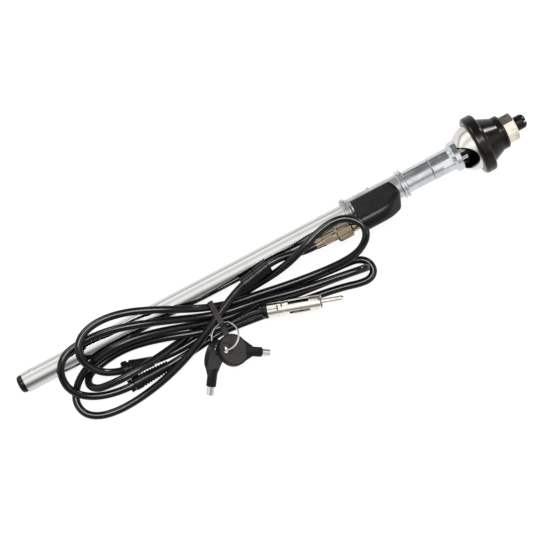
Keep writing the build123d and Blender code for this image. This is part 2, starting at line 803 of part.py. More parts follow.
def lead_span(first, last):
    """A bore a little wider than the lead, along its line between the middles of two runs."""
    points = [halfway(first - 1, first)] + lead_route[first:last + 1] + [halfway(last, last + 1)]
    with BuildPart() as span:
        with BuildLine() as span_line:
            FilletPolyline(*points, radius=lead_radii[first - 1:last])
        with BuildSketch(Plane(origin=span_line.line @ 0, z_dir=span_line.line % 0)):
            Circle(lead_radius + 0.05)
        sweep()
    return span.part


def axis_plane(start, end):
    """Half section about the line between two points: x along it, y outward."""
    direction = (end - start).normalized()
    side = direction.cross(Vector(0, 0, 1)).normalized()
    return Plane(origin=start, x_dir=direction, z_dir=direction.cross(side))


# In-line barrel: two thick sleeves with a groove between them
barrel_first = 4
barrel_last = 5
barrel_start = halfway(barrel_first - 1, barrel_first)
barrel_end = halfway(barrel_last, barrel_last + 1)
barrel_length = (barrel_end - barrel_start).length
with BuildPart() as inline_barrel:
    with BuildSketch(axis_plane(barrel_start, barrel_end)):
        with BuildLine():
            Polyline(
                (1.2, 0),
                (1.2, 3.6),
                (1.8, 4.35),
                (10.6, 4.35),
                (10.9, 3.9),
                (11.6, 3.9),
                (11.9, 4.35),
                (barrel_length - 1.8, 4.35),
                (barrel_length - 1.2, 3.6),
                (barrel_length - 1.2, 0),
                close=True,
            )
        make_face()
    revolve(axis=Axis(barrel_start, barrel_end - barrel_start))
    add(lead_span(barrel_first, barrel_last), mode=Mode.SUBTRACT)
inline_barrel.part.label = "inline_barrel"

# Bulkhead grommet: flange, groove and a long taper
grommet_first = 93
grommet_last = 94
grommet_start = halfway(grommet_last, grommet_last + 1)
grommet_end = halfway(grommet_first - 1, grommet_first)
grommet_length = (grommet_end - grommet_start).length
with BuildPart() as bulkhead_grommet:
    with BuildSketch(axis_plane(grommet_start, grommet_end)):
        with BuildLine():
            Polyline(
                (0.6, 0),
                (0.6, 4.6),
                (1.4, 5.4),
                (4.2, 5.4),
                (4.6, 4.9),
                (4.6, 4.2),
                (5.9, 4.2),
                (5.9, 5.0),
                (6.5, 5.2),
                (10.5, 4.5),
                (grommet_length - 0.6, 3.1),
                (grommet_length - 0.6, 0),
                close=True,
            )
        make_face()
    revolve(axis=Axis(grommet_start, grommet_end - grommet_start))
    add(lead_span(grommet_first, grommet_last), mode=Mode.SUBTRACT)
bulkhead_grommet.part.label = "bulkhead_grommet"

# Ribbed boot that tapers along the lead
boot_first = 52
boot_last = 53
boot_start = halfway(boot_last, boot_last + 1)
boot_end = halfway(boot_first - 1, boot_first)
boot_length = (boot_end - boot_start).length
boot_ribs = 10
rib_pitch = (boot_length - 9.0) / boot_ribs
with BuildPart() as ribbed_boot:
    with BuildSketch(axis_plane(boot_start, boot_end)):
        with BuildLine():
            boot_outline = [(3.2, 0), (3.2, 3.9), (3.8, 4.35), (8.4, 4.35)]
            for rib in range(boot_ribs):
                rib_at = 8.4 + rib * rib_pitch
                rib_radius = 4.25 - 1.05 * rib / boot_ribs
                boot_outline.append((rib_at + 0.15, rib_radius - 0.45))
                boot_outline.append((rib_at + 0.45 * rib_pitch, rib_radius - 0.45))
                boot_outline.append((rib_at + 0.5 * rib_pitch, rib_radius))
                boot_outline.append((rib_at + rib_pitch, rib_radius))
            boot_outline.append((8.4 + boot_ribs * rib_pitch, 0))
            Polyline(*boot_outline, close=True)
        make_face()
    revolve(axis=Axis(boot_start, boot_end - boot_start))
    add(lead_span(boot_first, boot_last), mode=Mode.SUBTRACT)
ribbed_boot.part.label = "ribbed_boot"

# Metal ferrule at the boot's thick end, with a crown of notches
with BuildPart() as boot_ferrule:
    with BuildSketch(axis_plane(boot_start, boot_end)):
        with BuildLine():
            Polyline((0.2, 0), (0.2, 4.0), (3.1, 4.0), (3.1, 0), close=True)
        make_face()
    revolve(axis=Axis(boot_start, boot_end - boot_start))
    crown = Plane(origin=boot_start, z_dir=boot_end - boot_start)
    with BuildSketch(crown):
        with PolarLocations(4.0, 8):
            Rectangle(1.2, 1.1)
    extrude(amount=1.6, mode=Mode.SUBTRACT)
    add(lead_span(boot_first, boot_last), mode=Mode.SUBTRACT)
boot_ferrule.part.label = "boot_ferrule"

# Aerial plug at the lead's end
plug_start = lead_route[-1]
plug_direction = Vector(0.927, -0.324, 0.19).normalized()
plug_axis = Axis(plug_start, plug_direction)
plug_half = axis_plane(plug_start, plug_start + plug_direction * 10)
sleeve_length = 33.5
slot_width = 1.3
with BuildPart() as plug_collar:
    with BuildSketch(plug_half):
        with BuildLine():
            Polyline(
                (0.1, 0),
                (0.1, 3.6),
                (0.7, 4.3),
                (1.6, 4.3),
                (1.9, 4.9),
                (3.6, 4.9),
                (3.9, 4.5),
                (3.9, 0),
                close=True,
            )
        make_face()
    revolve(axis=plug_axis)
plug_collar.part.label = "plug_collar"

with BuildPart() as plug_sleeve:
    with BuildSketch(plug_half):
        with BuildLine():
            Polyline(
                (4.0, 3.95),
                (4.0, 4.65),
                (13.0, 4.65),
                (13.6, 4.4),
                (14.4, 4.4),
                (15.0, 4.65),
                (27.0, 4.8),
                (31.5, 4.7),
                (4.0 + sleeve_length - 1.0, 4.4),
                (4.0 + sleeve_length, 4.2),
                (4.0 + sleeve_length, 3.75),
                (27.0, 4.15),
                (15.0, 3.95),
                close=True,
            )
        make_face()
    revolve(axis=plug_axis)
    plug_cross = Plane(origin=plug_start + plug_direction * 17, x_dir=(0.2, 0.35, 0.5), z_dir=plug_direction)
    with BuildSketch(plug_cross):
        Rectangle(12, slot_width)
        Rectangle(slot_width, 12)
    extrude(amount=sleeve_length, mode=Mode.SUBTRACT)
    tab_cross = Plane(origin=plug_start + plug_direction * 4, z_dir=plug_direction)
    with BuildSketch(tab_cross):
        with PolarLocations(4.6, 4, start_angle=40):
            Rectangle(2.4, 0.8)
    extrude(amount=6.5, mode=Mode.SUBTRACT)
plug_sleeve.part.label = "plug_sleeve"

with BuildPart() as plug_insulator:
    with BuildSketch(plug_half):
        with BuildLine():
            Polyline((4.1, 0), (4.1, 3.85), (14.5, 3.85), (15.5, 3.5), (30.0, 3.5), (30.0, 0), close=True)
        make_face()
    revolve(axis=plug_axis)
    with BuildSketch(Plane(origin=plug_start + plug_direction * 9.8, z_dir=plug_direction)):
        Circle(1.05)
    extrude(amount=21, mode=Mode.SUBTRACT)
plug_insulator.part.label = "plug_insulator"

pin_length = 42.0
with BuildPart() as plug_pin:
    with BuildSketch(plug_half):
        with BuildLine():
            Polyline(
                (10.0, 0),
                (10.0, 1.0),
                (36.6, 1.0),
                (37.0, 1.55),
                (10.0 + pin_length - 1.5, 1.55),
                (10.0 + pin_length - 0.5, 1.1),
                (10.0 + pin_length, 0.4),
                (10.0 + pin_length, 0),
                close=True,
            )
        make_face()
    revolve(axis=plug_axis)
plug_pin.part.label = "plug_pin"

# Tie round the bundle, drawn as the outline of the strands that it holds
tie_x = -189.5
tie_width = 3.4
tie_corners = [(-28.3, 3.5), (-16.5, 3.4), (-12.2, 12.6), (-19.2, 16.6), (-24.5, 17.6), (-26.8, 9.8)]
tie_plane = Plane(origin=(tie_x - tie_width / 2, 0, floor), x_dir=(0, 1, 0), z_dir=(1, 0, 0))
with BuildPart() as bundle_tie:
    with BuildSketch(tie_plane):
        with BuildLine():
            Polyline(*tie_corners, close=True)
        make_face()
        offset(amount=3.2)
    extrude(amount=tie_width)
    with BuildSketch(tie_plane):
        with BuildLine():
            Polyline(*tie_corners, close=True)
        make_face()
        offset(amount=2.7)
    extrude(amount=tie_width, mode=Mode.SUBTRACT)
bundle_tie.part.label = "bundle_tie"

# Wire ring for the keys
with BuildPart() as key_ring:
    ring_plane = Plane(origin=(-191.17, -33.0, floor + 15.72), z_dir=(-0.2568, 0.2322, 0.9382))
    Torus(9.0, 0.6)
key_ring_part = ring_plane.location * key_ring.part
key_ring_part.label = "key_ring"

# Two keys alike: a round bow with an eye, a shaft and a tubular tip
bow_radius = 10.2
bow_thickness = 3.0
eye_offset = -5.0
eye_radius = 2.2
pocket_radius = 4.4
pocket_depth = 0.7


def key_bow(plane):
    """Bow and shaft on a plane whose x runs to the tip."""
    with BuildPart() as bow:
        with BuildSketch(plane.offset(-bow_thickness / 2)):
            Circle(bow_radius)
            with BuildLine():
                Polyline((3.0, 9.75), (13.6, 3.1), (13.6, -3.1), (3.0, -9.75), close=True)
            make_face()
            with Locations((eye_offset, 0)):
                Circle(eye_radius, mode=Mode.SUBTRACT)
        extrude(amount=bow_thickness)
        for face_height in (-bow_thickness / 2, bow_thickness / 2 - pocket_depth):
            with BuildSketch(plane.offset(face_height)):
                with Locations((eye_offset, 0)):
                    Circle(pocket_radius)
            extrude(amount=pocket_depth, mode=Mode.SUBTRACT)
        shaft_plane = Plane(origin=plane.from_local_coords((9.0, 0, 0)), z_dir=plane.x_dir)
        with BuildSketch(shaft_plane):
            Circle(3.1)
        extrude(amount=10.6)
    return bow


def key_tip(plane):
    """Tubular metal tip with a slot, standing out of the shaft."""
    with BuildPart() as tip:
        with BuildSketch(Plane(origin=plane.from_local_coords((19.7, 0, 0)), z_dir=plane.x_dir)):
            Circle(2.3)
            Circle(1.5, mode=Mode.SUBTRACT)
        extrude(amount=5.6)
    return tip


front_plane = Plane(
    origin=(-190.88, -42.72, floor + 14.35),
    x_dir=(0.7711, -0.4123, -0.4853),
    z_dir=(0.5075, -0.0624, 0.8594),
)
left_plane = Plane(
    origin=(-202.19, -40.17, floor + 11.61),
    x_dir=(-0.5382, -0.7619, -0.3603),
    z_dir=(0.6523, -0.6473, 0.3944),
)
front_key_bow = key_bow(front_plane)
front_key_bow.part.label = "front_key_bow"
front_key_tip = key_tip(front_plane)
front_key_tip.part.label = "front_key_tip"
left_key_bow = key_bow(left_plane)
left_key_bow.part.label = "left_key_bow"
left_key_tip = key_tip(left_plane)
left_key_tip.part.label = "left_key_tip"

parts = [
    base_tube, tail_plug, guide_liner, retaining_collar, upper_housing, contact_ring, feed_wire,
    outlet_cover, outlet_stub, coupling_nut, lead_ferrule, flange_sleeve, sleeve_guide, swivel_neck,
    neck_stem, swivel_dome, panel_gasket, trim_cone, ring_seal, top_nut, mast_section_1,
    mast_section_2, mast_section_3, section_1_foot, section_2_foot, section_3_foot, rod_foot,
    tip_rod, tip_knob, lock_barrel, coax_lead, inline_barrel, bulkhead_grommet, ribbed_boot,
    boot_ferrule, plug_collar, plug_sleeve, plug_insulator, plug_pin, bundle_tie, front_key_bow,
    front_key_tip, left_key_bow, left_key_tip,
]
os.makedirs("parts", exist_ok=True)
for piece in parts:
    export_step(piece.part, "parts/" + piece.part.label + ".step")
export_step(key_ring_part, "parts/key_ring.step")
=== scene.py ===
# %% [markdown]
# A car mast aerial, dressed from its imported model
#
# The imported model brings every solid piece in place, in metres, with the mast along +X. This lesson keeps
# those solids, lays the lead as a smooth curve, adds the small moulded and bent details, and then gives
# each piece a finish worked out in shader nodes.

# %% Open the imported model
import math
import bpy
import numpy as np
from mathutils import Matrix, Vector


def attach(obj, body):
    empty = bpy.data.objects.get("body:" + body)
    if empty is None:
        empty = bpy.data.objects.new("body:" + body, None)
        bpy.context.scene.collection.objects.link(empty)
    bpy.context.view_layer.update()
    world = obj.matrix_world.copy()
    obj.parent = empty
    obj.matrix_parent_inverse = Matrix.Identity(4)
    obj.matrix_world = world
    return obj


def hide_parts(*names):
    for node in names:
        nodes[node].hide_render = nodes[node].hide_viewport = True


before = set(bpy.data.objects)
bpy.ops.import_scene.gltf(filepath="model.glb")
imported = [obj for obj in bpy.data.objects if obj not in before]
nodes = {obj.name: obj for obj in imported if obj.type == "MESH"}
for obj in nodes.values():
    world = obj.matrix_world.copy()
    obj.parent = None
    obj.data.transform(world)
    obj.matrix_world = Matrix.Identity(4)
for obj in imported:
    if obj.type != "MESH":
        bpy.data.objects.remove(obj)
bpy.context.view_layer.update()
scene = bpy.context.scene

# %% [markdown]
# The mast lies on the gasket's rim and on its tail, so its axis climbs a little towards the tip. Every
# piece that is turned about the mast uses the same three directions: along it, up from it, and sideways.

# %% Mast directions and floor height
lie = math.radians(2.266)
floor_height = -0.0189
mast = np.array([math.cos(lie), 0.0, math.sin(lie)])
mast_up = np.array([-math.sin(lie), 0.0, math.cos(lie)])
mast_side = np.array([0.0, -1.0, 0.0])


def mast_point(station, radius, roll):
    """A point at a station along the mast, at a radius, turned by roll degrees from up towards -Y."""
    angle = np.radians(roll)
    out = np.cos(angle)[..., None] * mast_up + np.sin(angle)[..., None] * mast_side
    return np.asarray(station)[..., None] * mast + np.asarray(radius)[..., None] * out


print("mast direction", mast.round(4))

# %% [markdown]
# The photograph looks down on the floor from about 8 degrees off straight above, through a long lens. The
# camera's own axes are right, up and back. The lens follows from the distance, so the scale on the floor
# stays the same when the camera moves in or out along its line of sight.

# %% Camera
look_at = Vector((-0.14636, -0.01401, 0.00004))
camera_right = Vector((0.88506, -0.46547, 0.0))
camera_up = Vector((0.46094, 0.87645, 0.13917))
camera_back = Vector((-0.06478, -0.12318, 0.99027))
camera_distance = 1.2
metres_per_pixel = 0.00061698
photo_width = 550
camera_data = bpy.data.cameras.new("photo_camera")
camera_data.sensor_width = 36.0
camera_data.lens = 36.0 * camera_distance / metres_per_pixel / photo_width
camera_data.clip_end = 50.0
camera = bpy.data.objects.new("photo_camera", camera_data)
turn = Matrix((camera_right, camera_up, camera_back)).transposed().to_4x4()
camera.matrix_world = Matrix.Translation(look_at + camera_back * camera_distance) @ turn
scene.collection.objects.link(camera)
scene.camera = camera
print("lens", round(camera_data.lens, 1))

# %% [markdown]
# The new pieces below are grids of points, each worked out by a formula in a station and a turn. Two
# helpers serve them: one joins a grid with quads, the other makes a piece of it that rides on a body.

# %% Grid surfaces
crease_angle = math.radians(40.0)


def grid_faces(rows, columns):
    """Quads of a grid of points, row after row, with the last column joined to the first."""
    row, column = np.meshgrid(np.arange(rows - 1), np.arange(columns), indexing="ij")
    follow = (column + 1) % columns
    near_row = row * columns
    far_row = (row + 1) * columns
    corners = [near_row + column, near_row + follow, far_row + follow, far_row + column]
    return np.stack(corners, axis=-1).reshape(-1, 4)


def make_piece(name, points, faces, body):
    """A smooth piece from points and faces, sharp past the crease angle, riding on a body."""
    mesh = bpy.data.meshes.new(name)
    mesh.from_pydata(points.reshape(-1, 3).tolist(), [], faces.tolist())
    mesh.shade_smooth()
    mesh.set_sharp_from_angle(angle=crease_angle)
    piece = bpy.data.objects.new(name, mesh)
    scene.collection.objects.link(piece)
    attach(piece, body)
    return piece


print("grid helpers ready")

# %% [markdown]
# The outlet is a black moulding that sits like a saddle on the housing, with a pod over the lead's
# socket and a nose that slants off towards the head. A mould has no sharp edges, and a chain of bevels
# would fight over the corner where three faces meet. So its skin is one formula: the distance from the
# mast's axis is the softened smaller of two values, the outline of saddle and pod, and the plane of the
# nose.

# %% Outlet moulding
outlet_start, outlet_end = -0.0843, -0.0542
saddle_radius, pod_radius, pod_offset = 0.0093, 0.0065, 0.0122
pod_roll = 55.0
nose_lean = math.radians(57.0)
nose_reach = 0.0102
softness = 16.0
curl_length = 0.0024
rim_radius = 0.0082
outlet_bore = 0.00795
steepest_flank = 1.4
least_cosine = 0.05


def outlet_radius(station, turn, end):
    """
    Distance of the skin from the mast's axis, at a turn in radians from the pod's direction.

    The outline is the saddle's circle, the pod's circle and the two lines that touch both. The nose is a
    plane that leans back from the end. The softened smaller value of a and b is (a^-n + b^-n)^(-1/n). The
    last stretch before the end curls in along a quarter circle, down to the rim at most.
    """
    size = np.abs(turn)
    touch = math.acos((saddle_radius - pod_radius) / pod_offset)
    pod_touch = math.atan2(pod_radius * math.sin(touch), pod_offset + pod_radius * math.cos(touch))
    inside = np.maximum(pod_radius**2 - (pod_offset * np.sin(size)) ** 2, 0.0)
    pod = pod_offset * np.cos(size) + np.sqrt(inside)
    flank = saddle_radius / np.cos(np.minimum(np.abs(touch - size), steepest_flank))
    outline = np.where(size < pod_touch, pod, np.where(size < touch, flank, saddle_radius))
    fall = (outlet_end - station) / math.tan(nose_lean) + nose_reach
    plane = fall / np.maximum(np.cos(turn), least_cosine)
    skin = (outline**-softness + plane**-softness) ** (-1.0 / softness)
    curl = np.clip((station - end + curl_length) / curl_length, 0.0, 1.0)
    return skin - np.minimum(curl_length, skin - rim_radius) * (1.0 - np.sqrt(1.0 - curl**2))


outlet_rows, outlet_columns = 72, 120
crowding_at_nose = 1.6
first_turn, last_turn = np.radians((-82.0, 86.0))
end_curve, end_peak = 0.0026, -0.44
along = 1.0 - (1.0 - np.linspace(0.0, 1.0, outlet_rows)) ** crowding_at_nose
around = np.linspace(first_turn, last_turn, outlet_columns)
shares, turns = np.meshgrid(along, around, indexing="ij")
pulled_back = end_curve * (turns - end_peak) ** 2
ends = outlet_end - pulled_back
stations = outlet_start + (ends - outlet_start) * shares
outer = mast_point(stations, outlet_radius(stations, turns, ends), pod_roll + np.degrees(turns))
inner = mast_point(stations, np.full_like(turns, outlet_bore), pod_roll + np.degrees(turns))
outlet_points = np.concatenate([outer, inner[:, ::-1]], axis=1)
rows, columns = outlet_points.shape[:2]
outlet_sides = grid_faces(rows, columns)
half = columns // 2
rib = np.arange(half - 1)
start_cap = np.stack([rib, rib + 1, columns - 2 - rib, columns - 1 - rib], axis=-1)
end_cap = start_cap[:, ::-1] + (rows - 1) * columns
outlet = make_piece(
    "outlet_moulding", outlet_points, np.concatenate([outlet_sides, start_cap, end_cap]),
    "mast_base",
)
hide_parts("outlet_cover")
print("outlet faces", len(outlet.data.polygons))

# %% [markdown]
# The plug's sleeve is rolled from thin sheet: crimp tabs at the lead, a rolled groove, and four long
# slots that let it spring in its socket. It is a profile turned about the plug's axis. The faces of the
# slots are left out of the grid, and a Solidify modifier gives the sheet its thickness, so every slot
# gets a real edge.

# %% Plug sleeve
plug_start = np.array([-0.1638, -0.0298, floor_height + 0.01385])
plug_axis = np.array([0.927, -0.324, 0.19])
plug_axis = plug_axis / np.linalg.norm(plug_axis)
plug_front = np.array(camera_back) - np.dot(camera_back, plug_axis) * plug_axis
plug_front = plug_front / np.linalg.norm(plug_front)
plug_side = np.cross(plug_axis, plug_front)
sleeve_stations = [0.0040, 0.0130, 0.0136, 0.0144, 0.0150, 0.0270, 0.0315, 0.0365, 0.0375]
sleeve_radii = [0.00465, 0.00465, 0.0044, 0.0044, 0.00465, 0.0048, 0.0047, 0.0045, 0.0042]
sleeve_wall = 0.0005
quarter = 90.0
slot_turn, slot_half_width = -38.0, 14.0
slot_start, slot_end = 0.0175, 0.0305
tab_turn, slit_half_width, tab_half_width = -6.0, 2.0, 24.0
slit_end = 0.0108
tab_gap_start, tab_gap_end = 0.0104, 0.0110


def sleeve_point(station, turn):
    """A point of the sleeve: its profile's radius at a station, turned about the axis from the front."""
    radius = np.interp(station, sleeve_stations, sleeve_radii)[..., None]
    out = np.cos(turn)[..., None] * plug_front + np.sin(turn)[..., None] * plug_side
    return plug_start + station[..., None] * plug_axis + radius * out


def near_turn(turn, centre, spacing, half_width):
    """True where a turn is within half a width of a centre or of its copies at a spacing, in degrees."""
    offset = (np.degrees(turn) - centre + spacing / 2) % spacing - spacing / 2
    return np.abs(offset) < half_width


sleeve_rows, sleeve_columns = 112, 96
station_line = np.linspace(sleeve_stations[0], sleeve_stations[-1], sleeve_rows)
turn_line = np.arange(sleeve_columns) * 2.0 * math.pi / sleeve_columns
sleeve_s, sleeve_t = np.meshgrid(station_line, turn_line, indexing="ij")
sleeve_faces = grid_faces(sleeve_rows, sleeve_columns)
face_s = sleeve_s[:-1].ravel() + 0.5 * (station_line[1] - station_line[0])
face_t = sleeve_t[:-1].ravel() + 0.5 * turn_line[1]
slot = near_turn(face_t, slot_turn, quarter, slot_half_width) & (face_s > slot_start) & (face_s < slot_end)
tab_slit = near_turn(face_t, tab_turn, quarter, slit_half_width) & (face_s < slit_end)
tab_gap = near_turn(face_t, tab_turn, quarter, tab_half_width)
tab_gap &= (face_s > tab_gap_start) & (face_s < tab_gap_end)
kept = sleeve_faces[~(slot | tab_slit | tab_gap)]
used, renumbered = np.unique(kept, return_inverse=True)
sleeve_points = sleeve_point(sleeve_s, sleeve_t).reshape(-1, 3)[used]
plug_sleeve = make_piece("plug_sheet", sleeve_points, renumbered.reshape(-1, 4), "mast_base")
wall = plug_sleeve.modifiers.new("wall", "SOLIDIFY")
wall.thickness = sleeve_wall
wall.offset = -1.0
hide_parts("plug_sleeve")
print("plug sleeve faces", len(kept))

# %% [markdown]
# The lead is a coaxial cable of 4.8 mm. It leaves the connector under the outlet, is looped back and
# forth into a flat hank along the mast, and ends in the aerial plug. A cable is one smooth line, so the
# points of its route are the control points of a single NURBS curve with a round bevel. They are the
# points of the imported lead, each as x, y and height above the floor.

# %% Lead
lead_route = [
    # from the ferrule over the barrel to the tie
    (-0.11555, -0.00983, 0.0212), (-0.1222, -0.00983, 0.02095), (-0.131, -0.0078, 0.0216),
    (-0.1405, -0.00625, 0.02208), (-0.15151, -0.00711, 0.02184), (-0.1625, -0.009, 0.0206),
    (-0.1733, -0.0125, 0.0188), (-0.182, -0.0163, 0.01741), (-0.1895, -0.02011, 0.01635),
    # outer loop by the tail, first turn
    (-0.2003, -0.0256, 0.0144), (-0.2112, -0.0304, 0.0116), (-0.22239, -0.03455, 0.00843),
    (-0.23439, -0.03796, 0.00564), (-0.2472, -0.0404, 0.0036), (-0.2604, -0.0419, 0.0027),
    (-0.2729, -0.0418, 0.0024), (-0.2833, -0.0393, 0.0025), (-0.2901, -0.034, 0.0025),
    (-0.2918, -0.0257, 0.0025), (-0.2885, -0.0187, 0.0026), (-0.2824, -0.0131, 0.005),
    (-0.2751, -0.0099, 0.009), (-0.2662, -0.0081, 0.0128), (-0.2557, -0.0072, 0.0152),
    (-0.2438, -0.0078, 0.0157), (-0.2309, -0.0101, 0.0144), (-0.2175, -0.0135, 0.0122),
    (-0.2043, -0.0175, 0.01), (-0.1922, -0.0212, 0.00829),
    # long outer hairpin towards the head
    (-0.18133, -0.02301, 0.00775), (-0.17124, -0.02304, 0.00725), (-0.1611, -0.02261, 0.00639),
    (-0.1502, -0.02281, 0.00429), (-0.1376, -0.0235, 0.0031), (-0.1237, -0.0247, 0.0026),
    (-0.1108, -0.0259, 0.0026), (-0.1026, -0.0263, 0.0027), (-0.0947, -0.0273, 0.0029),
    (-0.08942, -0.03139, 0.00294), (-0.08873, -0.0381, 0.00295), (-0.0932, -0.0419, 0.0029),
    (-0.1004, -0.0415, 0.0028), (-0.1093, -0.039, 0.0026), (-0.1211, -0.0368, 0.0025),
    (-0.1349, -0.0348, 0.0025), (-0.1494, -0.0329, 0.0025), (-0.1638, -0.0311, 0.0025),
    (-0.1772, -0.0295, 0.0029),
    # second turn by the tail, with the ribbed boot
    (-0.1896, -0.0282, 0.0034), (-0.2018, -0.0293, 0.0033), (-0.2125, -0.0305, 0.0034),
    (-0.22301, -0.03126, 0.00357), (-0.23601, -0.03204, 0.00386), (-0.2505, -0.0326, 0.0043),
    (-0.265, -0.0319, 0.0048), (-0.2773, -0.0289, 0.0056), (-0.2866, -0.0235, 0.0071),
    (-0.2917, -0.0162, 0.0098), (-0.2919, -0.0082, 0.0138), (-0.2888, -0.0019, 0.0176),
    (-0.2829, 0.0027, 0.0178), (-0.2751, 0.0044, 0.01672), (-0.2651, 0.0046, 0.01736),
    (-0.2535, 0.0032, 0.0185), (-0.241, -0.00012, 0.01915), (-0.2279, -0.00452, 0.01827),
    (-0.2148, -0.0092, 0.0156), (-0.2023, -0.0138, 0.0129), (-0.1911, -0.01759, 0.01157),
    # upright hairpin towards the head
    (-0.18089, -0.0202, 0.0119), (-0.17062, -0.0216, 0.01196), (-0.1589, -0.02324, 0.01115),
    (-0.146, -0.02651, 0.0107), (-0.1326, -0.0292, 0.011), (-0.1205, -0.0313, 0.0122),
    (-0.1105, -0.033, 0.0138), (-0.1028, -0.0343, 0.0146), (-0.0973, -0.0351, 0.0143),
    (-0.0932, -0.0353, 0.0109), (-0.09293, -0.03471, 0.006), (-0.09601, -0.0338, 0.00291),
    (-0.1019, -0.033, 0.0025), (-0.1091, -0.032, 0.0025), (-0.1193, -0.0308, 0.0025),
    (-0.1322, -0.0295, 0.0025), (-0.1465, -0.028, 0.0025), (-0.1611, -0.0264, 0.0025),
    (-0.175, -0.0247, 0.0027),
    # third turn by the tail, with the grommet
    (-0.1879, -0.0231, 0.00335), (-0.2004, -0.0241, 0.0031), (-0.2108, -0.02553, 0.00258),
    (-0.221, -0.02595, 0.00275), (-0.2312, -0.0254, 0.0035), (-0.2423, -0.0242, 0.0047),
    (-0.2528, -0.02256, 0.00596), (-0.2624, -0.02017, 0.00827), (-0.2699, -0.0161, 0.0118),
    (-0.2758, -0.0077, 0.018), (-0.2756, -0.0003, 0.02184), (-0.2711, 0.00639, 0.02229),
    (-0.2622, 0.0103, 0.0212), (-0.2508, 0.0107, 0.0205), (-0.2383, 0.008, 0.0204),
    (-0.2258, 0.003, 0.0204), (-0.214, -0.00275, 0.01978), (-0.2036, -0.00764, 0.01717),
    (-0.1941, -0.0113, 0.0135), (-0.18419, -0.01436, 0.01078),
    # hook over the connector
    (-0.17248, -0.01709, 0.00954), (-0.1588, -0.01894, 0.00908), (-0.1439, -0.02149, 0.009),
    (-0.129, -0.0235, 0.0095), (-0.1152, -0.0251, 0.0114), (-0.1037, -0.026, 0.0152),
    (-0.0948, -0.0256, 0.021), (-0.0888, -0.0229, 0.0283), (-0.0856, -0.019, 0.031),
    (-0.0847, -0.014, 0.032), (-0.0875, -0.0087, 0.0321), (-0.0932, -0.0038, 0.031),
    (-0.1016, -0.0025, 0.0305), (-0.1118, -0.0043, 0.03), (-0.12301, -0.00816, 0.02857),
    (-0.13476, -0.01182, 0.02486), (-0.1466, -0.01311, 0.0178), (-0.15885, -0.01296, 0.0102),
    (-0.17134, -0.01355, 0.00465),
    # last turn by the tail and out to the plug
    (-0.1838, -0.0159, 0.00335), (-0.1957, -0.018, 0.00335), (-0.2071, -0.02005, 0.00375),
    (-0.21861, -0.0222, 0.00601), (-0.2301, -0.0242, 0.0094), (-0.2414, -0.0257, 0.0121),
    (-0.2519, -0.02663, 0.01343), (-0.2611, -0.02664, 0.01304), (-0.2689, -0.0259, 0.0113),
    (-0.275, -0.0249, 0.0098), (-0.2789, -0.0215, 0.0074), (-0.2792, -0.0174, 0.0043),
    (-0.2759, -0.0135, 0.0026), (-0.2703, -0.012, 0.0026), (-0.2631, -0.0106, 0.0028),
    (-0.2546, -0.0099, 0.0037), (-0.2447, -0.0106, 0.0054), (-0.2335, -0.0131, 0.0076),
    (-0.221, -0.01704, 0.00976), (-0.2076, -0.02174, 0.01008), (-0.1942, -0.0256, 0.0094),
    (-0.1855, -0.027, 0.01), (-0.1765, -0.0276, 0.0113), (-0.1684, -0.0282, 0.0129),
    (-0.1638, -0.0298, 0.01385),
]
lead_diameter = 0.0048

lead_curve = bpy.data.curves.new("lead_sheath", "CURVE")
lead_curve.dimensions = "3D"
lead_curve.bevel_depth = 1.0
lead_curve.bevel_resolution = 5
lead_curve.use_fill_caps = True
lead_spline = lead_curve.splines.new("NURBS")
lead_spline.points.add(len(lead_route) - 1)
lead_control = np.ones((len(lead_route), 4))
lead_control[:, :3] = lead_route
lead_control[:, 2] += floor_height
lead_spline.points.foreach_set("co", lead_control.ravel())
lead_spline.order_u = 3
lead_spline.use_endpoint_u = True
lead_spline.points.foreach_set("radius", np.full(len(lead_route), lead_diameter / 2))
lead_spline.resolution_u = 6
lead = bpy.data.objects.new("lead_sheath", lead_curve)
scene.collection.objects.link(lead)
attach(lead, "mast_base")
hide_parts("coax_lead")
print("lead points", len(lead_route))

# %% [markdown]
# Finishes are written as expressions. The class below holds one output of a node tree: plus, minus, times
# and divide on it add Math nodes, and node() adds any other node, so a finish reads like a formula.

# %% Shader sockets as values


